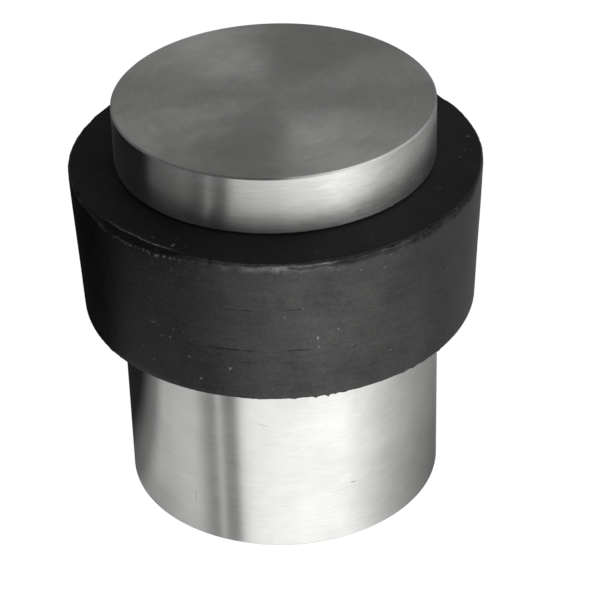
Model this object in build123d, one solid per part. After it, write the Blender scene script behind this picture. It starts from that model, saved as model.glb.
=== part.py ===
"""Cylindrical floor door stop: a stainless body and head with a rubber buffer ring between them.

The stop is a stack of turned parts drawn together by one central screw. A base disc is screwed to the
floor, the stop drops over it, and a grub screw low in the back wall locks the two together.
Units are millimetres. +Z is up, Z = 0 is the floor, the Z axis is the axis of the stop, and +Y is the
back, where the grub screw is.
"""
import os

from build123d import *

# Driving dimensions
BODY_D = 30.0
BODY_H = 19.4               # body height, up to the underside of the rubber
RUBBER_H = 15.0             # space between body and head
HEAD_D = 29.6
HEAD_H = 5.6                # height of the head's rim
WALL = 3.1                  # wall of the body
WEB = 4.0                   # closed top of the body
NECK_D = 19.0               # bush that the rubber turns on
RUBBER_TOP_D = 38.4         # the rubber is moulded with a little draft, wider at the top
RUBBER_BOTTOM_D = 37.1
BASE_DISC_H = 5.5

# Rubber moulding
RUBBER_FALL = 0.35          # the top face falls this much from the head's rim to its outer edge
RUBBER_TOP_RADIUS = 0.5
RUBBER_BOTTOM_RADIUS = 0.25

# Fits
END_PLAY = 0.05             # rubber to body and to head, along Z
NECK_CLEARANCE = 0.05       # rubber to bush, on the radius
DISC_CLEARANCE = 0.05       # base disc to body, on the radius
THREAD_CLEARANCE = 0.03     # plain stand-in for a thread, on the radius

# Edges
EDGE_BREAK = 0.15           # broken edges of the turned parts
INNER_BREAK = 0.4           # lead-in of the body's mouth

# Centre screw, M6 x 25 socket head cap screw, with its two washers
SCREW_D = 6.0
SCREW_LENGTH = 25.0
SCREW_HEAD_D = 10.0
SCREW_HEAD_H = 6.0
SCREW_HEX = 5.0
SCREW_HEX_DEPTH = 3.0
SCREW_HOLE_D = 6.4
FLAT_WASHER_D = 12.0
FLAT_WASHER_H = 1.6
LOCK_WASHER_D = 11.0
LOCK_WASHER_H = 1.5
LOCK_WASHER_SLOT = 0.6
LOCK_WASHER_SLANT = 20      # degrees
WASHER_HOLE_D = 6.5

# Registers that centre the stack
HEAD_BOSS_D = 12.0
HEAD_BOSS_H = 6.0
HEAD_TAP_DEPTH = 9.6        # from the boss's end
BUSH_SPIGOT_D = 12.0
BUSH_SPIGOT_H = 1.0
REGISTER_CLEARANCE = 0.05   # on the radius
REGISTER_RELIEF = 0.1       # a register's recess is this much deeper than its spigot

# Floor screw hole in the base disc, for a 5 mm countersunk wood screw
FLOOR_HOLE_D = 5.5
FLOOR_SINK_D = 10.4

# Grub screw, M4 x 3 with a flat point
GRUB_D = 4.0
GRUB_LENGTH = 3.0
GRUB_Z = 2.8
GRUB_HEX = 2.0
GRUB_HEX_DEPTH = 1.6
GRUB_BREAK = 0.3

# Levels and radii that follow
BODY_R = BODY_D / 2
HEAD_R = HEAD_D / 2
BORE_R = BODY_R - WALL
WEB_Z = BODY_H - WEB
HEAD_Z = BODY_H + RUBBER_H
DISC_R = BORE_R - DISC_CLEARANCE
FLAT_WASHER_Z = WEB_Z - FLAT_WASHER_H
LOCK_WASHER_Z = FLAT_WASHER_Z - LOCK_WASHER_H
SCREW_HEAD_Z = LOCK_WASHER_Z - SCREW_HEAD_H


def turned(*outline):
    """Solid of revolution about Z from an outline of (radius, height) points."""
    return revolve(make_face(Plane.XZ * Polyline(*outline, close=True)), Axis.Z)


def cylinder_up(radius, z, height):
    """Cylinder about Z that starts at height z."""
    return Pos(0, 0, z) * Cylinder(radius, height, align=(Align.CENTER, Align.CENTER, Align.MIN))


def hexagon_up(across_flats, z, height):
    """Hexagonal prism about Z that starts at height z."""
    prism = extrude(RegularPolygon(across_flats / 2, 6, major_radius=False), height)
    return Pos(0, 0, z) * prism


def circles_of(solid, radius, z):
    """The solid's circular edges of that radius at that height, to break or round."""
    return [
        edge
        for edge in solid.edges().filter_by(GeomType.CIRCLE)
        if abs(edge.radius - radius) < 1e-4 and abs(edge.center().Z - z) < 1e-4
    ]


def grub_axis(radius):
    """Placement at that radius on the grub screw's axis, with local +Z pointing out of the back."""
    return Pos(0, radius, GRUB_Z) * Rot(-90, 0, 0)


def base_disc():
    """Disc that is screwed to the floor, with a countersunk hole for the floor screw."""
    disc = turned(
        (0, 0),
        (DISC_R, 0),
        (DISC_R, BASE_DISC_H - EDGE_BREAK),
        (DISC_R - EDGE_BREAK, BASE_DISC_H),
        (0, BASE_DISC_H),
    )
    sink_depth = (FLOOR_SINK_D - FLOOR_HOLE_D) / 2
    sink = turned(
        (0, BASE_DISC_H - sink_depth),
        (FLOOR_HOLE_D / 2, BASE_DISC_H - sink_depth),
        (FLOOR_SINK_D / 2, BASE_DISC_H),
        (0, BASE_DISC_H),
    )
    return disc - sink - cylinder_up(FLOOR_HOLE_D / 2, 0, BASE_DISC_H)


def body_sleeve():
    """Body: a cup, mouth down, with a register for the bush and a tapped hole for the grub screw."""
    sleeve = cylinder_up(BODY_R, 0, BODY_H) - cylinder_up(BORE_R, 0, WEB_Z)
    sleeve -= cylinder_up(SCREW_HOLE_D / 2, WEB_Z, WEB)
    recess = BUSH_SPIGOT_H + REGISTER_RELIEF
    sleeve -= cylinder_up(BUSH_SPIGOT_D / 2, BODY_H - recess, recess)
    sleeve = chamfer(circles_of(sleeve, BODY_R, 0) + circles_of(sleeve, BODY_R, BODY_H), EDGE_BREAK)
    sleeve = chamfer(circles_of(sleeve, BORE_R, 0), INNER_BREAK)
    return sleeve - grub_axis(BODY_R - WALL / 2) * Cylinder(GRUB_D / 2, 2 * WALL)


def grub_screw():
    """Grub screw through the back wall, with its point on the base disc's rim."""
    screw = cylinder_up(GRUB_D / 2 - THREAD_CLEARANCE, 0, GRUB_LENGTH)
    radius = GRUB_D / 2 - THREAD_CLEARANCE
    screw = chamfer(circles_of(screw, radius, 0) + circles_of(screw, radius, GRUB_LENGTH), GRUB_BREAK)
    screw -= hexagon_up(GRUB_HEX, GRUB_LENGTH - GRUB_HEX_DEPTH, GRUB_HEX_DEPTH)
    return grub_axis(DISC_R) * screw


def neck_bush():
    """Bush between body and head. The rubber turns on it, and its two ends centre the stack."""
    bush = cylinder_up(NECK_D / 2, BODY_H, RUBBER_H)
    bush = chamfer(
        circles_of(bush, NECK_D / 2, BODY_H) + circles_of(bush, NECK_D / 2, HEAD_Z), EDGE_BREAK
    )
    bush += cylinder_up(BUSH_SPIGOT_D / 2 - REGISTER_CLEARANCE, BODY_H - BUSH_SPIGOT_H, BUSH_SPIGOT_H)
    bush -= cylinder_up(SCREW_HOLE_D / 2, BODY_H - BUSH_SPIGOT_H, RUBBER_H + BUSH_SPIGOT_H)
    seat = HEAD_BOSS_H + REGISTER_RELIEF
    return bush - cylinder_up(HEAD_BOSS_D / 2 + REGISTER_CLEARANCE, HEAD_Z - seat, seat)


def buffer_ring():
    """Thick rubber ring that the door strikes, free to turn on the bush."""
    bore = NECK_D / 2 + NECK_CLEARANCE
    low, high = BODY_H + END_PLAY, HEAD_Z - END_PLAY
    top_r, bottom_r = RUBBER_TOP_D / 2, RUBBER_BOTTOM_D / 2
    ring = turned(
        (bore, low),
        (bottom_r, low),
        (top_r, high - RUBBER_FALL),
        (HEAD_R, high),
        (bore, high),
    )
    ring = fillet(circles_of(ring, top_r, high - RUBBER_FALL), RUBBER_TOP_RADIUS)
    return fillet(circles_of(ring, bottom_r, low), RUBBER_BOTTOM_RADIUS)


def head_cap():
    """Head: a disc with a tapped boss below that reaches into the bush."""
    head = cylinder_up(HEAD_R, HEAD_Z, HEAD_H)
    head = chamfer(circles_of(head, HEAD_R, HEAD_Z) + circles_of(head, HEAD_R, HEAD_Z + HEAD_H), EDGE_BREAK)
    boss_z = HEAD_Z - HEAD_BOSS_H
    head += cylinder_up(HEAD_BOSS_D / 2, boss_z, HEAD_BOSS_H)
    head = chamfer(circles_of(head, HEAD_BOSS_D / 2, boss_z), EDGE_BREAK)
    return head - cylinder_up(SCREW_D / 2, boss_z, HEAD_TAP_DEPTH)


def centre_screw():
    """Socket head cap screw that draws head, bush and body together from inside the body."""
    head = cylinder_up(SCREW_HEAD_D / 2, SCREW_HEAD_Z, SCREW_HEAD_H)
    head = chamfer(circles_of(head, SCREW_HEAD_D / 2, SCREW_HEAD_Z), INNER_BREAK)
    radius = SCREW_D / 2 - THREAD_CLEARANCE
    end_z = LOCK_WASHER_Z + SCREW_LENGTH
    shank = cylinder_up(radius, LOCK_WASHER_Z, SCREW_LENGTH)
    shank = chamfer(circles_of(shank, radius, end_z), INNER_BREAK)
    return head + shank - hexagon_up(SCREW_HEX, SCREW_HEAD_Z, SCREW_HEX_DEPTH)


def flat_washer():
    """Plain washer against the web."""
    washer = cylinder_up(FLAT_WASHER_D / 2, FLAT_WASHER_Z, FLAT_WASHER_H)
    return washer - cylinder_up(WASHER_HOLE_D / 2, FLAT_WASHER_Z, FLAT_WASHER_H)


def lock_washer():
    """Split spring washer, drawn flat, with its slanted slot."""
    washer = cylinder_up(LOCK_WASHER_D / 2, LOCK_WASHER_Z, LOCK_WASHER_H)
    washer -= cylinder_up(WASHER_HOLE_D / 2, LOCK_WASHER_Z, LOCK_WASHER_H)
    slot = Box(LOCK_WASHER_D, LOCK_WASHER_SLOT, 4 * LOCK_WASHER_H)
    middle = LOCK_WASHER_Z + LOCK_WASHER_H / 2
    return washer - Pos(LOCK_WASHER_D / 2, 0, middle) * Rot(LOCK_WASHER_SLANT, 0, 0) * slot


PARTS = (
    base_disc,
    body_sleeve,
    grub_screw,
    neck_bush,
    buffer_ring,
    head_cap,
    centre_screw,
    flat_washer,
    lock_washer,
)

os.makedirs("parts", exist_ok=True)
for make in PARTS:
    export_step(make(), f"parts/{make.__name__}.step")
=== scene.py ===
"""Looks of the floor door stop: brushed stainless body and head, and a moulded rubber ring between them.

Everything is in metres, in the frame of the CAD model: Z is the axis of the stop, the floor is at Z = 0,
the front is -Y. Angles round the axis are azimuths: 0 at the front, growing towards +X.
"""

import math

import bpy
from mathutils import Matrix, Vector, noise


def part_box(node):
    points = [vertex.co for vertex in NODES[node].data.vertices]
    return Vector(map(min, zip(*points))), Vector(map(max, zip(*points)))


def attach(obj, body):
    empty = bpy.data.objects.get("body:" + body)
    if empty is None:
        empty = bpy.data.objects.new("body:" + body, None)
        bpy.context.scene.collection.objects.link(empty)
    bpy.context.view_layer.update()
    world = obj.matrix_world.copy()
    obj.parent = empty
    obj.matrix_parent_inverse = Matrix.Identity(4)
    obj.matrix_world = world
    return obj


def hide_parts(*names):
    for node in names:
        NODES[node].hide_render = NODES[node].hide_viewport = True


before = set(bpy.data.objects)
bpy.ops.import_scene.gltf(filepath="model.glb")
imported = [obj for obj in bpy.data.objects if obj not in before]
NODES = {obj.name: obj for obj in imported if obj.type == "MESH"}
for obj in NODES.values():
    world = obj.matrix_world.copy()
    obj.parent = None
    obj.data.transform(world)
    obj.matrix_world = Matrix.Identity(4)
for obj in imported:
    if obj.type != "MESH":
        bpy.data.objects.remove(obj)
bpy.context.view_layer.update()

MM = 0.001

BODY_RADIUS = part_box("body_sleeve")[1].x

# Camera: a long lens, in front of the stop and above it
CAMERA_AT = Vector((0.0, -190.1, 142.5)) * MM
CAMERA_PITCH = 0.9905
CAMERA_YAW = -0.0099
CAMERA_ROLL = -0.0282
CAMERA_LENS = 142.62
SENSOR = 36.0

# Studio
STOP_MIDDLE = Vector((0.0, 0.0, 20.0)) * MM
FLOOR_RADIUS = 3.0
FLOOR_COLOUR = (0.03, 0.03, 0.03, 1.0)   # nearly black, so that no shadow shows on the glowing floor
FLOOR_GLOW = 1.0
QUIET_FLOOR = (0.25, 0.25, 0.25, 1.0)    # what the floor gives back to matt surfaces
ROOM_PEAK = 1.7             # at least the brightest value in the tables below
ROOM_FILL = 0.2             # share of the room's light that reaches matt surfaces
HORIZON_BLUR = 0.14         # how far the two tables below blend into each other
LOW_ROOM = [    # (azimuth, brightness) below the horizon
    (-180, 0.5), (-140, 0.6), (-100, 0.63), (-82, 0.78), (-68, 0.8), (-59, 0.36), (-51, 0.34),
    (-48.5, 1.3), (-46, 0.34), (-37, 0.34), (-32, 1.15), (-24, 1.4), (10, 1.55), (45, 1.65), (60, 1.28),
    (80, 0.81), (110, 0.48), (150, 0.26), (180, 0.4),
]
HIGH_ROOM = [   # (azimuth, brightness) above the horizon
    (-180, 0.21), (-100, 0.13), (-60, 0.15), (-33, 0.1), (0, 0.12), (30, 0.7), (60, 1.35), (100, 0.8),
    (140, 0.24), (180, 0.21),
]


class Graph:
    """A node tree with short calls for the nodes that the materials share."""

    def __init__(self, tree):
        self.tree = tree
        self.tree.nodes.clear()

    def add(self, kind, inputs=None, **settings):
        """A node of that kind. inputs maps a socket's name or number to a value or to another socket."""
        node = self.tree.nodes.new("ShaderNode" + kind)
        for name, value in settings.items():
            setattr(node, name, value)
        for key, value in (inputs or {}).items():
            self.join(value, node.inputs[key])
        return node

    def join(self, value, socket):
        if isinstance(value, bpy.types.NodeSocket):
            self.tree.links.new(value, socket)
        else:
            socket.default_value = value

    def math(self, operation, *values, clamp=False):
        node = self.add("Math", dict(enumerate(values)), operation=operation, use_clamp=clamp)
        return node.outputs[0]

    def remap(self, value, low, high, to_low, to_high, smooth=False):
        kind = "SMOOTHSTEP" if smooth else "LINEAR"
        inputs = {"Value": value, "From Min": low, "From Max": high, "To Min": to_low, "To Max": to_high}
        return self.add("MapRange", inputs, interpolation_type=kind, clamp=True).outputs[0]

    def ramp(self, value, stops):
        """Straight steps of grey over value, from (place, grey) stops."""
        node = self.add("ValToRGB", {0: value})
        ramp = node.color_ramp
        while len(ramp.elements) < len(stops):
            ramp.elements.new(1.0)
        for element, (place, grey) in zip(ramp.elements, stops):
            element.position = place
            element.color = (grey, grey, grey, 1.0)
        return node.outputs[0]

    def combine(self, x=0.0, y=0.0, z=0.0):
        return self.add("CombineXYZ", {0: x, 1: y, 2: z}).outputs[0]

    def noise(self, vector, scale, detail=2.0, roughness=0.5, w=None):
        dimensions = "3D" if w is None else "4D"
        node = self.add("TexNoise", noise_dimensions=dimensions)
        self.join(vector, node.inputs["Vector"])
        node.inputs["Scale"].default_value = scale
        node.inputs["Detail"].default_value = detail
        node.inputs["Roughness"].default_value = roughness
        if w is not None:
            self.join(w, node.inputs["W"])
        return node.outputs[0]


def new_material(name):
    material = bpy.data.materials.new(name)
    material.use_nodes = True
    return material, Graph(material.node_tree)


def finish_material(graph, shader):
    graph.add("OutputMaterial", {"Surface": shader.outputs[0]})


def around_axis(graph):
    """Object coordinates round Z: the place, its height and radius, and x and y over that radius."""
    place = graph.add("TexCoord").outputs["Object"]
    split = graph.add("SeparateXYZ", {0: place})
    x, y, z = split.outputs[0], split.outputs[1], split.outputs[2]
    square = graph.math("ADD", graph.math("MULTIPLY", x, x), graph.math("MULTIPLY", y, y))
    radius = graph.math("SQRT", square)
    safe = graph.math("MAXIMUM", radius, 0.0002)
    return place, z, radius, graph.math("DIVIDE", x, safe), graph.math("DIVIDE", y, safe)


def turning_lines(graph, pitch, streak):
    """Noise in fine lines round the axis.

    pitch is their spacing in metres, and streak says how often they break up.
    """
    _, z, radius, cosine, sine = around_axis(graph)
    across = graph.combine(
        graph.math("MULTIPLY", cosine, streak),
        graph.math("MULTIPLY", sine, streak),
        graph.math("DIVIDE", radius, pitch),
    )
    return graph.noise(across, 1.0, detail=2.0, roughness=0.6, w=graph.math("DIVIDE", z, pitch))


def scratch_marks(graph, marks):
    """Mask of single scratches on the body. Lengths are in mm.

    Each mark is (azimuth, height, half length round the axis, half length along it, slope, strength).
    """
    _, z, _, cosine, sine = around_axis(graph)
    azimuth = graph.math("ARCTAN2", cosine, graph.math("MULTIPLY", sine, -1.0))
    total = 0.0
    for place, height, half_round, half_up, slope, strength in marks:
        turn = graph.math("SUBTRACT", azimuth, math.radians(place))
        along = graph.math("MULTIPLY", turn, BODY_RADIUS / MM)
        up = graph.math("SUBTRACT", graph.math("DIVIDE", z, MM), height)
        up = graph.math("SUBTRACT", up, graph.math("MULTIPLY", along, slope))
        share = graph.math("POWER", graph.math("DIVIDE", along, half_round), 2.0)
        share = graph.math("ADD", share, graph.math("POWER", graph.math("DIVIDE", up, half_up), 2.0))
        mark = graph.remap(share, 0.1, 1.0, strength, 0.0, smooth=True)
        total = graph.math("ADD", total, mark)
    return total


STEEL_TONE = 0.605          # how much light the steel gives back
STEEL_BLUE = 0.985          # share of it in blue
ROUGHNESS_SPREAD = 0.025    # how far the brushing lines change the roughness
CENTRE_REACH = 8 * MM       # the middle of a turned face is smoother, out to this radius
CENTRE_POLISH = 0.17
WAVE_DEPTH = 0.15 * MM      # slow unevenness of the turned sides
FLAT_SHARE = 0.02           # share of it that is left on flat faces
LINE_DEPTH = 0.0005 * MM    # relief of the brushing lines


def brushed_steel(name, anisotropy, roughness, top_roughness, contrast, marks=()):
    """Satin stainless steel, brushed round the axis: lines round the sides, rings on the flat faces.

    contrast is how far the brushing lines lighten and darken its tone.
    """
    material, g = new_material(name)
    hair = turning_lines(g, 0.1 * MM, 14.0)
    fine = turning_lines(g, 0.24 * MM, 6.0)
    broad = turning_lines(g, 1.1 * MM, 2.5)
    coordinates = g.add("TexCoord")
    smears = g.noise(coordinates.outputs["Object"], 240.0, detail=4.0, roughness=0.6)
    waves = g.noise(coordinates.outputs["Object"], 330.0, detail=1.0)
    facing_up = g.add("SeparateXYZ", {0: coordinates.outputs["Normal"]}).outputs[2]
    on_top = g.remap(facing_up, 0.5, 0.95, 0.0, 1.0)
    radius = around_axis(g)[2]
    centre = g.remap(radius, 0.0, CENTRE_REACH, -CENTRE_POLISH, 0.0, smooth=True)
    lines = g.math("ADD", g.math("MULTIPLY", hair, 0.4), g.math("MULTIPLY", fine, 0.4))
    lines = g.math("ADD", lines, g.math("MULTIPLY", broad, 0.2))
    marked = scratch_marks(g, marks)
    wear = g.math("ADD", lines, g.math("MULTIPLY", smears, 0.5))
    rough = g.remap(wear, 0.5, 1.0, roughness - ROUGHNESS_SPREAD, roughness + ROUGHNESS_SPREAD)
    top_change = g.math("ADD", centre, top_roughness - roughness)
    rough = g.math("ADD", rough, g.math("MULTIPLY", on_top, top_change))
    tone = g.remap(lines, 0.3, 0.7, STEEL_TONE - contrast, STEEL_TONE + contrast)
    tone = g.math("MULTIPLY", tone, g.remap(smears, 0.3, 0.7, 0.93, 1.07))
    tone = g.math("MULTIPLY", tone, g.math("SUBTRACT", 1.0, marked))
    colour = g.add("CombineColor", {0: tone, 1: tone, 2: g.math("MULTIPLY", tone, STEEL_BLUE)}).outputs[0]
    height = g.math("SUBTRACT", lines, g.math("MULTIPLY", marked, 3.0))
    dents = g.math("MULTIPLY", waves, g.remap(on_top, 0.0, 1.0, FLAT_SHARE, 1.0))
    uneven = g.add("Bump", {"Height": dents, "Distance": WAVE_DEPTH, "Strength": 1.0}).outputs[0]
    bump = g.add("Bump", {"Height": height, "Distance": LINE_DEPTH, "Strength": 1.0, "Normal": uneven})
    tangent = g.add("Tangent", direction_type="RADIAL", axis="Z")
    shader = g.add(
        "BsdfPrincipled",
        {
            "Base Color": colour,
            "Metallic": 1.0,
            "Roughness": rough,
            "Anisotropic": anisotropy,
            "Anisotropic Rotation": 0.25,
            "Tangent": tangent.outputs[0],
            "Normal": bump.outputs[0],
        },
    )
    finish_material(g, shader)
    return material


def plain_metal(name, colour, roughness, variation):
    """Metal of the small inner parts, with a little mottling."""
    material, g = new_material(name)
    place = g.add("TexCoord").outputs["Object"]
    mottle = g.noise(place, 900.0, detail=3.0)
    rough = g.remap(mottle, 0.3, 0.7, roughness, roughness + variation)
    bump = g.add("Bump", {"Height": mottle, "Distance": 0.0015 * MM, "Strength": 1.0})
    shade = g.remap(mottle, 0.3, 0.7, 0.88, 1.0)
    tint = g.add("Mix", data_type="RGBA", blend_type="MULTIPLY")
    tint.inputs["Factor"].default_value = 1.0
    tint.inputs["A"].default_value = (*colour, 1.0)
    g.join(g.add("CombineColor", {0: shade, 1: shade, 2: shade}).outputs[0], tint.inputs["B"])
    shader = g.add(
        "BsdfPrincipled",
        {
            "Base Color": tint.outputs["Result"],
            "Metallic": 1.0,
            "Roughness": rough,
            "Normal": bump.outputs[0],
        },
    )
    finish_material(g, shader)
    return material


DUST_TONE = 0.08
DUSTY_SIDE = -0.57          # x over radius, where most of the dust has settled
RUBBER_GRAIN = 0.032 * MM


def rubber(name, specular, roughness, bloom):
    """Black moulded rubber: matt and grainy, a little streaked round the axis, with dust in its pores.

    bloom is how pale its surface film is. A mesh attribute says where it is rubbed and where shade is
    painted: from 1, scuffed pale, to -1, painted shade in a crease or a score.
    """
    material, g = new_material(name)
    place, z, _, cosine, sine = around_axis(g)
    grain = g.noise(place, 3200.0, detail=3.0, roughness=0.7)
    streak_at = g.combine(
        g.math("MULTIPLY", cosine, 3.0), g.math("MULTIPLY", sine, 3.0), g.math("DIVIDE", z, 0.3 * MM)
    )
    streaks = g.noise(streak_at, 1.0, detail=4.0, roughness=0.6)
    clouds = g.noise(place, 190.0, detail=5.0, roughness=0.6)
    swarm = g.remap(g.noise(place, 210.0, detail=1.0, w=9.0), 0.36, 0.56, 0.055, -0.02)
    off_side = g.math("ABSOLUTE", g.math("SUBTRACT", cosine, DUSTY_SIDE))
    swarm = g.math("ADD", swarm, g.remap(off_side, 0.05, 0.3, 0.05, 0.0))
    dust = g.remap(g.math("ADD", g.noise(place, 2300.0, detail=1.0), swarm), 0.765, 0.865, 0.0, 1.0)
    scuff_and_shade = g.add("Attribute", attribute_name="scuff_and_shade").outputs["Fac"]
    film = g.math("ADD", g.math("MULTIPLY", streaks, 0.35), g.math("MULTIPLY", clouds, 0.75))
    film = g.math("ADD", film, g.math("MULTIPLY", grain, 0.6))
    shade = g.remap(film, 0.6, 1.1, 0.45 * bloom, 1.55 * bloom)
    shade = g.math("ADD", shade, g.math("MULTIPLY", dust, DUST_TONE))
    rubbed = g.math("MULTIPLY", g.math("MAXIMUM", scuff_and_shade, 0.0), g.remap(grain, 0.3, 0.7, 0.015, 0.2))
    # painted shade: where the attribute is below zero, the colour is darkened in creases and scores
    painted_crease_shade = g.math("ADD", g.math("MINIMUM", scuff_and_shade, 0.0), 1.0)
    shade = g.math("MULTIPLY", g.math("ADD", shade, rubbed), painted_crease_shade)
    colour = g.add("CombineColor", {0: shade, 1: shade, 2: g.math("MULTIPLY", shade, 0.97)}).outputs[0]
    rough = g.remap(g.math("ADD", streaks, grain), 0.6, 1.4, roughness - 0.08, roughness + 0.08)
    height = g.math("ADD", grain, g.math("MULTIPLY", streaks, 0.25))
    bump = g.add("Bump", {"Height": height, "Distance": RUBBER_GRAIN, "Strength": 1.0})
    shader = g.add(
        "BsdfPrincipled",
        {
            "Base Color": colour,
            "Roughness": rough,
            "Specular IOR Level": specular,
            "Normal": bump.outputs[0],
        },
    )
    finish_material(g, shader)
    return material


def dress(node, material):
    """Gives a CAD node a finished material in each of its slots."""
    slots = NODES[node].material_slots
    for slot in slots:
        slot.material = material


BODY_MARKS = [  # nicks and scratches from use: see scratch_marks
    (-7.7, 14.1, 0.7, 0.1, -0.22, 0.22), (24.6, 6.3, 0.35, 0.1, 0.1, 0.45),
    (21.5, 5.8, 1.2, 0.06, 0.25, 0.12), (-34.8, 4.3, 0.07, 0.85, 0.0, 0.3),
    (-41, 8.6, 1.6, 0.06, -0.3, 0.1), (-38, 6.6, 1.8, 0.07, -0.2, 0.1),
    (14, 5.3, 2.2, 0.05, 0.05, 0.08), (19, 3.9, 1.8, 0.05, 0.1, 0.08),
    (4, 11.4, 0.9, 0.06, 0.4, 0.08), (118, 12.2, 1.1, 0.07, 0.2, 0.2),
    (171, 4.4, 0.8, 0.08, -0.1, 0.25), (236, 13.8, 1.4, 0.06, 0.15, 0.15),
]


# --- the rubber ring: lengths in mm, angles in degrees ------------------------------------------

RING_STEPS = 1080           # sections round the ring
RING_FALL = 0.35            # how far the top face falls towards its edge
FLASH_ROOM = 0.1            # how far flash and burrs may stand out of the moulded surface
SIDE_DRAFT = 0.6            # the side's radius is this much smaller at the foot
FOOT_ROUND = 0.22
EDGE_SOFTNESS = 0.07        # how blunt the arrises of the trimmed edge are
TRIM = 0.2                  # usual leg of the bevel that trimming left on the top edge
SHAVED = (-42, 15, 0.55)    # azimuth, half width in degrees and extra leg where the knife cut deeper
TORN = (38, 26)             # azimuth and half width in degrees of the stretch where flash still stands
RUBBED = (1, 12)            # azimuth and half width in degrees of the stretch that doors have rubbed pale
TOP_ROWS = 9
LIP_ROWS = 36
LIP_REACH = 1.55            # the closely spaced rows reach this far each side of the top corner
SIDE_ROWS = 20
FOOT_ROWS = 4
UNDER_ROWS = 6
SCORES = [  # (height above the foot, azimuth, half width in degrees, depth) of fine scores round the side
    (9.75, 1, 15, 0.06), (5.4, -1, 16, 0.08), (4.1, -4, 6, 0.05),
]
SCORE_ROWS = (-0.13, -0.06, 0.0, 0.06, 0.13)    # extra rows round each score
SCORE_WIDTH = 0.055
SCORE_PAINTED_SHADE = 9          # how much darker a score is painted for its depth: painted shade
FLASH_HEIGHT = 0.1          # how far the flash on the torn stretch stands out
GROOVE_DEPTH = 0.3          # depth of the torn groove below that flash
GROOVE_WIDTH = 0.14
SWELL = 0.03                # how far the side as a whole is out of round
LAYER_STEP = 31.7           # distance in the noise between layers, so that they are independent
CHIPS = [   # (azimuth, width, depth) of chips in the top edge
    (-71, 0.9, 0.14), (-54, 1.2, 0.1), (-33, 0.7, 0.14), (-19, 0.6, 0.14), (-9, 1.0, 0.1),
    (14, 0.5, 0.12), (16, 0.6, 0.16), (31, 0.8, 0.1), (45, 0.6, 0.16), (58, 0.5, 0.1),
    (83, 0.7, 0.12), (121, 1.0, 0.14),
    (163, 0.8, 0.12), (204, 1.2, 0.16), (247, 0.7, 0.12),
]
BURRS = [   # (azimuth, width, drop) of burrs that hang from the foot
    (-58, 0.5, 0.14), (-6, 0.9, 0.08), (3, 0.5, 0.12), (9, 0.4, 0.2), (12.5, 0.3, 0.26),
    (14.6, 0.22, 0.16), (17, 0.5, 0.14), (36, 0.6, 0.12), (40, 0.5, 0.2), (44, 0.7, 0.16),
    (51, 0.5, 0.12), (97, 0.6, 0.14),
    (156, 0.8, 0.18), (221, 0.6, 0.14), (268, 0.7, 0.16),
]


def hump(value, centre, width):
    """A bell of height 1 round centre."""
    return math.exp(-(((value - centre) / width) ** 2))


def limit(value, low=0.0, high=1.0):
    return min(high, max(low, value))


def soft_step(value, low, high):
    t = limit((value - low) / (high - low))
    return t * t * (3 - 2 * t)


def apart(azimuth, other):
    """Degrees from one azimuth to another, the short way round."""
    return (azimuth - other + 180) % 360 - 180


def stretch(azimuth, middle, half):
    """1 within half degrees of middle, fading to 0 over half as much again."""
    return 1 - soft_step(abs(apart(azimuth, middle)), half, 1.5 * half)


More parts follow.
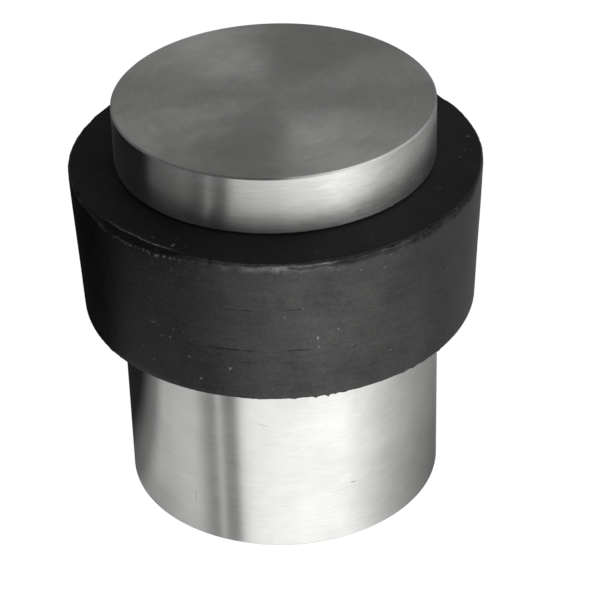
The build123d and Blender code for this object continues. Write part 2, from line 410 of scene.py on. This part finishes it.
class Rim:
    """One place on the ring's circumference, and what is wrong with the rubber there."""

    def __init__(self, azimuth, radius):
        self.azimuth = azimuth
        self.radius = radius
        self.torn = stretch(azimuth, *TORN) * limit(0.75 + 0.9 * self.noise(2.2, 1))
        self.rubbed = stretch(azimuth, *RUBBED) * limit(0.75 + 1.2 * self.noise(1.1, 2))
        self.shaved = hump(apart(azimuth, SHAVED[0]), 0, SHAVED[1])
        self.bevel = (TRIM + SHAVED[2] * self.shaved) * (1 + 0.4 * self.noise(2.8, 3))
        self.bevel += 0.05 * self.noise(0.4, 4) + 0.06 * self.torn
        self.groove = self.bevel + 0.15 + 0.25 * self.torn + 0.12 * self.noise(0.7, 19)
        self.cut_share = soft_step(max(self.shaved, self.torn), 0.15, 0.75)

    def noise(self, pitch, layer):
        """Noise along the rim, about -1 to 1, with features about pitch long. Layers are independent."""
        a = math.radians(self.azimuth)
        reach = self.radius / pitch
        return noise.noise(Vector((math.cos(a) * reach, math.sin(a) * reach, LAYER_STEP * layer)))

    def grain(self, past, pitch, layer):
        """Noise over the surface round the top edge."""
        a = math.radians(self.azimuth)
        reach = self.radius / pitch
        depth = past / pitch + LAYER_STEP * layer
        return noise.noise(Vector((math.cos(a) * reach, math.sin(a) * reach, depth)))

    def swell(self, height):
        """Slow noise over the side, about -1 to 1."""
        a = math.radians(self.azimuth)
        return noise.noise(Vector((2.4 * math.sin(a), 2.4 * math.cos(a), height / 5)))

    def along(self, other):
        """Distance along the rim to another azimuth."""
        return abs(math.radians(apart(self.azimuth, other))) * self.radius

    def flaw(self, past):
        """How far flash, torn groove and chips move the surface outwards, that far past the corner."""
        wander = 0.07 * self.noise(0.9, 5)
        ragged = limit(0.6 + 0.9 * self.noise(0.45, 6))
        out = FLASH_HEIGHT * self.torn * ragged * hump(past, self.bevel - 0.02 + wander, 0.09)
        groove = self.torn * (0.3 + 0.7 * ragged) * hump(past, self.groove, GROOVE_WIDTH)
        out -= GROOVE_DEPTH * groove
        out += 0.06 * (0.4 + self.torn) * self.noise(0.35, 7) * hump(past, -self.bevel, 0.12)
        out += 0.035 * (0.3 + self.shaved + self.rubbed) * self.grain(past, 0.3, 8) * hump(past, 0.1, 0.6)
        out -= 0.09 * limit(self.noise(0.8, 9) - 0.1) * hump(past, self.bevel + 0.1, 0.16)
        out += 0.03 * self.grain(past, 0.9, 10) * hump(past, 0, 1.2)
        for place, width, depth in CHIPS:
            if self.along(place) < 3 * width:
                out -= depth * hump(self.along(place), 0, width / 2) * hump(past, 0, 0.3)
        return out

    def score(self, rise):
        """Depth of the fine scores round the side, at a height above the foot."""
        wander = 0.03 * self.noise(1.5, 11)
        depth = 0.0
        for height, middle, half, deep in SCORES:
            depth += deep * stretch(self.azimuth, middle, half) * hump(rise + wander, height, SCORE_WIDTH)
        return depth * limit(0.5 + 1.4 * self.noise(1.1, 12))

    def drop(self):
        """How far the foot's edge hangs down: fine torn flash, and the larger burrs."""
        down = 0.07 * limit(self.noise(0.5, 13)) + 0.05 * limit(self.noise(0.2, 14))
        for place, width, depth in BURRS:
            if self.along(place) < 3 * width:
                down += depth * (0.7 + 0.5 * self.noise(0.14, 15)) * hump(self.along(place), 0, width / 2)
        return down

    def scuff_and_shade(self, past):
        """Scuffs and painted shade: up to 1 where the surface is scuffed pale, down to -1 where shade is
        painted into the torn groove and along the torn top edge.
        """
        speckle = limit(0.35 + 1.6 * self.grain(past, 0.28, 16))
        wander = 0.1 * self.noise(0.8, 17)
        pale = self.rubbed * soft_step(past, self.bevel - 0.1 + wander, self.bevel + 0.02 + wander)
        pale *= 1 - soft_step(past, self.bevel + 0.3 + 2 * wander, self.bevel + 0.75 + 3 * wander)
        upper = soft_step(self.shaved, 0.25, 0.8) * hump(past, -self.bevel, 0.06)
        lower = soft_step(self.shaved, 0.15, 0.6) * speckle * hump(past, self.bevel + wander, 0.14)
        strip = 0.05 * self.torn * speckle * hump(past, 0, self.bevel)
        edge = (0.03 + 0.12 * self.shaved) * speckle * hump(past, self.bevel, 0.08)
        # painted shade: darkens the torn groove under the flash and a line along the torn top edge
        painted_groove_shade = 1.4 * hump(past, self.groove, GROOVE_WIDTH)
        painted_groove_shade += hump(past, -self.bevel + wander, 0.08)
        painted_groove_shade *= self.torn * limit(0.8 + 0.9 * self.noise(0.5, 18))
        return limit(0.28 * pale + 0.8 * upper + 1.0 * lower + strip + edge - painted_groove_shade, -1.0, 1.0)


def rounded_ramp(value):
    """0 below zero and value above it, with a rounded turn."""
    return (value + math.sqrt(value * value + EDGE_SOFTNESS * EDGE_SOFTNESS)) / 2


def past_bevel(past, bevel):
    """How far a face has turned away from the corner, along a bevel with that leg."""
    return (rounded_ramp(past + bevel) + rounded_ramp(past - bevel)) / 2


def ring_rows(corner, bore, side_height):
    """Where the rows of points are, as distances past the top corner: negative on the top face."""
    rows = []
    for i in range(TOP_ROWS):
        rows.append(bore - corner + (corner - bore - LIP_REACH) * i / TOP_ROWS)
    for i in range(LIP_ROWS):
        t = 2 * i / (LIP_ROWS - 1) - 1
        rows.append(LIP_REACH * (0.35 * t + 0.65 * t ** 3))
    side = side_height - FOOT_ROUND
    side_rows = [LIP_REACH + (side - LIP_REACH) * (i + 1) / SIDE_ROWS for i in range(SIDE_ROWS)]
    scored = [side_height - height + shift for height, _, _, _ in SCORES for shift in SCORE_ROWS]
    return rows + sorted(side_rows + scored)


def ring_section(azimuth, corner, bore, head_radius, low, high):
    """Points (radius, height, scuff and painted shade) of the section at an azimuth, and how many of them
    are cut face.
    """
    rim = Rim(azimuth, corner)
    side_height = high - RING_FALL - low
    points = []
    top = 0
    for past in ring_rows(corner, bore, side_height):
        fall = RING_FALL * limit((corner + past - head_radius) / (corner - head_radius))
        radius = corner - past_bevel(-past, rim.bevel)
        height = high - fall - past_bevel(past, rim.bevel)
        lean = math.radians(90 * soft_step(past, -rim.bevel, rim.bevel))
        out = rim.flaw(past) if abs(past) < 2 * LIP_REACH else 0.0
        scuff_and_shade = rim.scuff_and_shade(past) if abs(past) < LIP_REACH else 0.0
        if past > LIP_REACH:
            score = rim.score(height - low)
            out -= score
            # painted shade: the scores are painted darker, the deeper they are
            scuff_and_shade = -limit(SCORE_PAINTED_SHADE * score)
        swell = SWELL * rim.swell(height) * soft_step(past, 0, 2)
        draft = SIDE_DRAFT * limit(past / side_height)
        radius = min(radius + out * math.sin(lean) + swell - draft, corner + FLASH_ROOM)
        height += out * math.cos(lean)
        points.append((radius, height, scuff_and_shade))
        top += past < rim.bevel * (2 * rim.cut_share - 1) + 0.15 * rim.torn
    foot = corner - SIDE_DRAFT
    drop = rim.drop()
    for i in range(1, FOOT_ROWS + 1):
        a = math.pi / 2 * i / FOOT_ROWS
        radius = foot - FOOT_ROUND + FOOT_ROUND * math.cos(a)
        points.append((radius, low + FOOT_ROUND - FOOT_ROUND * math.sin(a) - drop * math.sin(a), 0.0))
    for i in range(1, UNDER_ROWS + 1):
        radius = foot - FOOT_ROUND + (bore - foot + FOOT_ROUND) * i / UNDER_ROWS
        points.append((radius, low, 0.0))
    return points, top


def buffer_ring(skin, cut_face):
    """The rubber ring: moulded skin on its side, a cut face on top, ragged where flash was trimmed."""
    low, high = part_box("buffer_ring")
    corner = high.x / MM - FLASH_ROOM
    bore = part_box("neck_bush")[1].x / MM + 0.05
    head_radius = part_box("head_cap")[1].x / MM
    verts = []
    scuffs_and_shade = []
    tops = []
    for step in range(RING_STEPS):
        azimuth = 360 * step / RING_STEPS
        a = math.radians(azimuth)
        section, top = ring_section(azimuth, corner, bore, head_radius, low.z / MM, high.z / MM)
        tops.append(top)
        for radius, height, scuff_and_shade in section:
            verts.append(Vector((radius * math.sin(a), -radius * math.cos(a), height)) * MM)
            scuffs_and_shade.append(scuff_and_shade)
    count = len(verts) // RING_STEPS
    faces = []
    finishes = []
    for step in range(RING_STEPS):
        here = step * count
        there = (step + 1) % RING_STEPS * count
        for i in range(count):
            j = (i + 1) % count
            faces.append((here + i, here + j, there + j, there + i))
            finishes.append(1 if i < tops[step] else 0)
    mesh = bpy.data.meshes.new("rubber_ring")
    mesh.from_pydata(verts, [], faces)
    mesh.polygons.foreach_set("use_smooth", [True] * len(mesh.polygons))
    mesh.materials.append(skin)
    mesh.materials.append(cut_face)
    mesh.polygons.foreach_set("material_index", finishes)
    mesh.attributes.new("scuff_and_shade", "FLOAT", "POINT").data.foreach_set("value", scuffs_and_shade)
    mesh.update()
    ring = bpy.data.objects.new("rubber_ring", mesh)
    bpy.context.scene.collection.objects.link(ring)
    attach(ring, "buffer")
    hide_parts("buffer_ring")


# --- studio -------------------------------------------------------------------------------------


def camera():
    data = bpy.data.cameras.new("camera")
    data.lens = CAMERA_LENS
    data.sensor_width = SENSOR
    data.clip_start = 0.01
    data.clip_end = 10.0
    eye = bpy.data.objects.new("camera", data)
    turn = Matrix.Rotation(CAMERA_YAW, 4, "Z") @ Matrix.Rotation(CAMERA_PITCH, 4, "X")
    eye.matrix_world = Matrix.Translation(CAMERA_AT) @ turn @ Matrix.Rotation(CAMERA_ROLL, 4, "Z")
    bpy.context.scene.collection.objects.link(eye)
    bpy.context.scene.camera = eye


FAR_FLOOR = (44 * MM, 60 * MM)          # radii between which the near floor turns into the far one
FAR_SHARES = [  # (x over radius, share) of the light that comes through the far floor
    (-1.0, 0.2), (-0.93, 0.22), (-0.85, 0.32), (-0.76, 0.46), (-0.65, 0.56), (-0.54, 0.53), (-0.42, 0.6),
    (-0.2, 0.64), (0.0, 0.7), (0.6, 1.0),
]
SHADOW_STEPS = [    # (Y where it starts, Y where it ends, level) of each step of the shadow on the left
    (-7 * MM, -2 * MM, 0.45), (-4 * MM, 7 * MM, 0.06),
]
SHADOW_SHIFT = 4.5 * MM                 # how much farther back the shadow lies on the far floor
FOOT_RADIUS = 15 * MM
FOOT_SHADE = 0.42                       # how dark the shade at the foot is
FOOT_REACH = (20 * MM, 28 * MM)         # radii where it ends, on the left and on the right


def floor():
    """A plain white floor. Mirrors see the room through it, dimmed on the left and beside the foot."""
    material, g = new_material("studio_floor")
    pale = g.add("BsdfPrincipled", {
        "Base Color": FLOOR_COLOUR,
        "Roughness": 0.9,
        "Specular IOR Level": 0.1,
        "Emission Color": (1.0, 1.0, 1.0, 1.0),
        "Emission Strength": FLOOR_GLOW,
    })
    _, _, radius, cosine, sine = around_axis(g)
    far = g.remap(radius, *FAR_FLOOR, 0.0, 1.0, smooth=True)
    y = g.math("SUBTRACT", g.math("MULTIPLY", sine, radius), g.math("MULTIPLY", far, SHADOW_SHIFT))
    left = g.remap(cosine, -0.75, 0.1, 1.0, 0.0, smooth=True)
    side_share = g.remap(cosine, -1.0, 1.0, 0.0, 1.0)
    far_share = g.ramp(side_share, [((x + 1) / 2, level) for x, level in FAR_SHARES])
    open_room = g.math("ADD", 1.0, g.math("MULTIPLY", far, g.math("SUBTRACT", far_share, 1.0)))
    shadow = 1.0
    for start, end, level in SHADOW_STEPS:
        shadow = g.math("MULTIPLY", shadow, g.remap(y, start, end, 1.0, level, smooth=True))
    shadow = g.math("ADD", 1.0, g.math("MULTIPLY", left, g.math("SUBTRACT", shadow, 1.0)))
    reach = g.remap(cosine, -0.5, 0.5, *FOOT_REACH)
    foot = g.remap(radius, FOOT_RADIUS, reach, FOOT_SHADE, 0.0)
    beside = g.math("SUBTRACT", 1.0, g.math("MULTIPLY", foot, g.math("POWER", cosine, 2.0)))
    dim = g.math("MULTIPLY", g.math("MULTIPLY", open_room, shadow), beside)
    tint = g.add("CombineColor", {0: dim, 1: dim, 2: dim}).outputs[0]
    window = g.add("BsdfTransparent", {"Color": tint})
    rays = g.add("LightPath")
    quiet = g.add("BsdfDiffuse", {"Color": QUIET_FLOOR})
    lit = g.add("MixShader", {0: rays.outputs["Is Diffuse Ray"], 1: pale.outputs[0], 2: quiet.outputs[0]})
    both = g.add("MixShader", {0: rays.outputs["Is Glossy Ray"], 1: lit.outputs[0], 2: window.outputs[0]})
    finish_material(g, both)
    steps = 96
    ring = [2 * math.pi * i / steps for i in range(steps)]
    corners = [(FLOOR_RADIUS * math.cos(a), FLOOR_RADIUS * math.sin(a), 0.0) for a in ring]
    mesh = bpy.data.meshes.new("studio_floor")
    mesh.from_pydata(corners, [], [tuple(range(steps))])
    mesh.materials.append(material)
    plane = bpy.data.objects.new("studio_floor", mesh)
    bpy.context.scene.collection.objects.link(plane)


def azimuth_share(degrees):
    """Place of an azimuth on a ramp that runs once round the axis from the back."""
    return degrees / 360 + 0.5


def room():
    """Soft room light. Its brightness changes with the azimuth, as between soft boxes and open room."""
    world = bpy.data.worlds.new("room")
    bpy.context.scene.world = world
    world.use_nodes = True
    g = Graph(world.node_tree)
    split = g.add("SeparateXYZ", {0: g.add("TexCoord").outputs["Generated"]})
    x, y, z = split.outputs[0], split.outputs[1], split.outputs[2]
    azimuth = g.math("ARCTAN2", x, g.math("MULTIPLY", y, -1.0))
    share = g.math("ADD", g.math("DIVIDE", azimuth, 2 * math.pi), 0.5)
    low = g.ramp(share, [(azimuth_share(a), b / ROOM_PEAK) for a, b in LOW_ROOM])
    high = g.ramp(share, [(azimuth_share(a), b / ROOM_PEAK) for a, b in HIGH_ROOM])
    rise = g.remap(z, -HORIZON_BLUR, HORIZON_BLUR, 0.0, 1.0, smooth=True)
    bands = g.add("Mix", {"Factor": rise, "A": low, "B": high}, data_type="FLOAT").outputs[0]
    rays = g.add("LightPath")
    strength = g.remap(rays.outputs["Is Diffuse Ray"], 0.0, 1.0, ROOM_PEAK, ROOM_PEAK * ROOM_FILL)
    level = g.math("MULTIPLY", bands, strength)
    light = g.add("Background", {"Color": (1.0, 1.0, 0.99, 1.0), "Strength": level})
    seen = g.add("Background", {"Color": (1.0, 1.0, 1.0, 1.0), "Strength": 1.0})
    both = g.add("MixShader", {0: rays.outputs["Is Camera Ray"], 1: light.outputs[0], 2: seen.outputs[0]})
    g.add("OutputWorld", {"Surface": both.outputs[0]})


def softbox(name, azimuth, elevation, distance, width, height, power, mirrored=True):
    """An area light that points at the middle of the stop, mirrored in glossy surfaces or not."""
    data = bpy.data.lights.new(name, "AREA")
    data.shape = "RECTANGLE"
    data.size = width
    data.size_y = height
    data.energy = power
    lamp = bpy.data.objects.new(name, data)
    a, e = math.radians(azimuth), math.radians(elevation)
    way = Vector((math.cos(e) * math.sin(a), -math.cos(e) * math.cos(a), math.sin(e)))
    lamp.location = STOP_MIDDLE + way * distance
    lamp.rotation_euler = way.to_track_quat("Z", "Y").to_euler()
    lamp.visible_camera = False
    lamp.visible_glossy = mirrored
    bpy.context.scene.collection.objects.link(lamp)


def studio():
    bpy.context.scene.view_settings.view_transform = "Standard"
    camera()
    floor()
    room()
    softbox("key_softbox", 50, 42, distance=0.8, width=0.4, height=0.4, power=5.0, mirrored=False)
    softbox("front_card", 12, 8, distance=0.036, width=0.012, height=0.03, power=0.0128, mirrored=False)
    softbox("rear_right_softbox", 141, 50, distance=0.7, width=0.4, height=0.4, power=0.1)
    softbox("rear_left_softbox", -158, 38, distance=0.7, width=0.2, height=0.2, power=0.04)


studio()
dress("head_cap", brushed_steel("head_steel", 0.96, 0.24, 0.32, contrast=0.085))
dress("body_sleeve", brushed_steel("body_steel", 0.95, 0.195, 0.25, contrast=0.045, marks=BODY_MARKS))
zinc = plain_metal("zinc_plated", (0.62, 0.63, 0.65), 0.28, 0.12)
dress("base_disc", zinc)
dress("flat_washer", zinc)
dress("lock_washer", zinc)
dress("neck_bush", plain_metal("turned_aluminium", (0.78, 0.78, 0.79), 0.3, 0.1))
black_oxide = plain_metal("black_oxide", (0.05, 0.05, 0.055), 0.4, 0.15)
dress("centre_screw", black_oxide)
dress("grub_screw", black_oxide)
buffer_ring(
    rubber("rubber_skin", specular=0.17, roughness=0.36, bloom=0.015),
    rubber("rubber_cut_face", specular=0.21, roughness=0.6, bloom=0.0048),
)
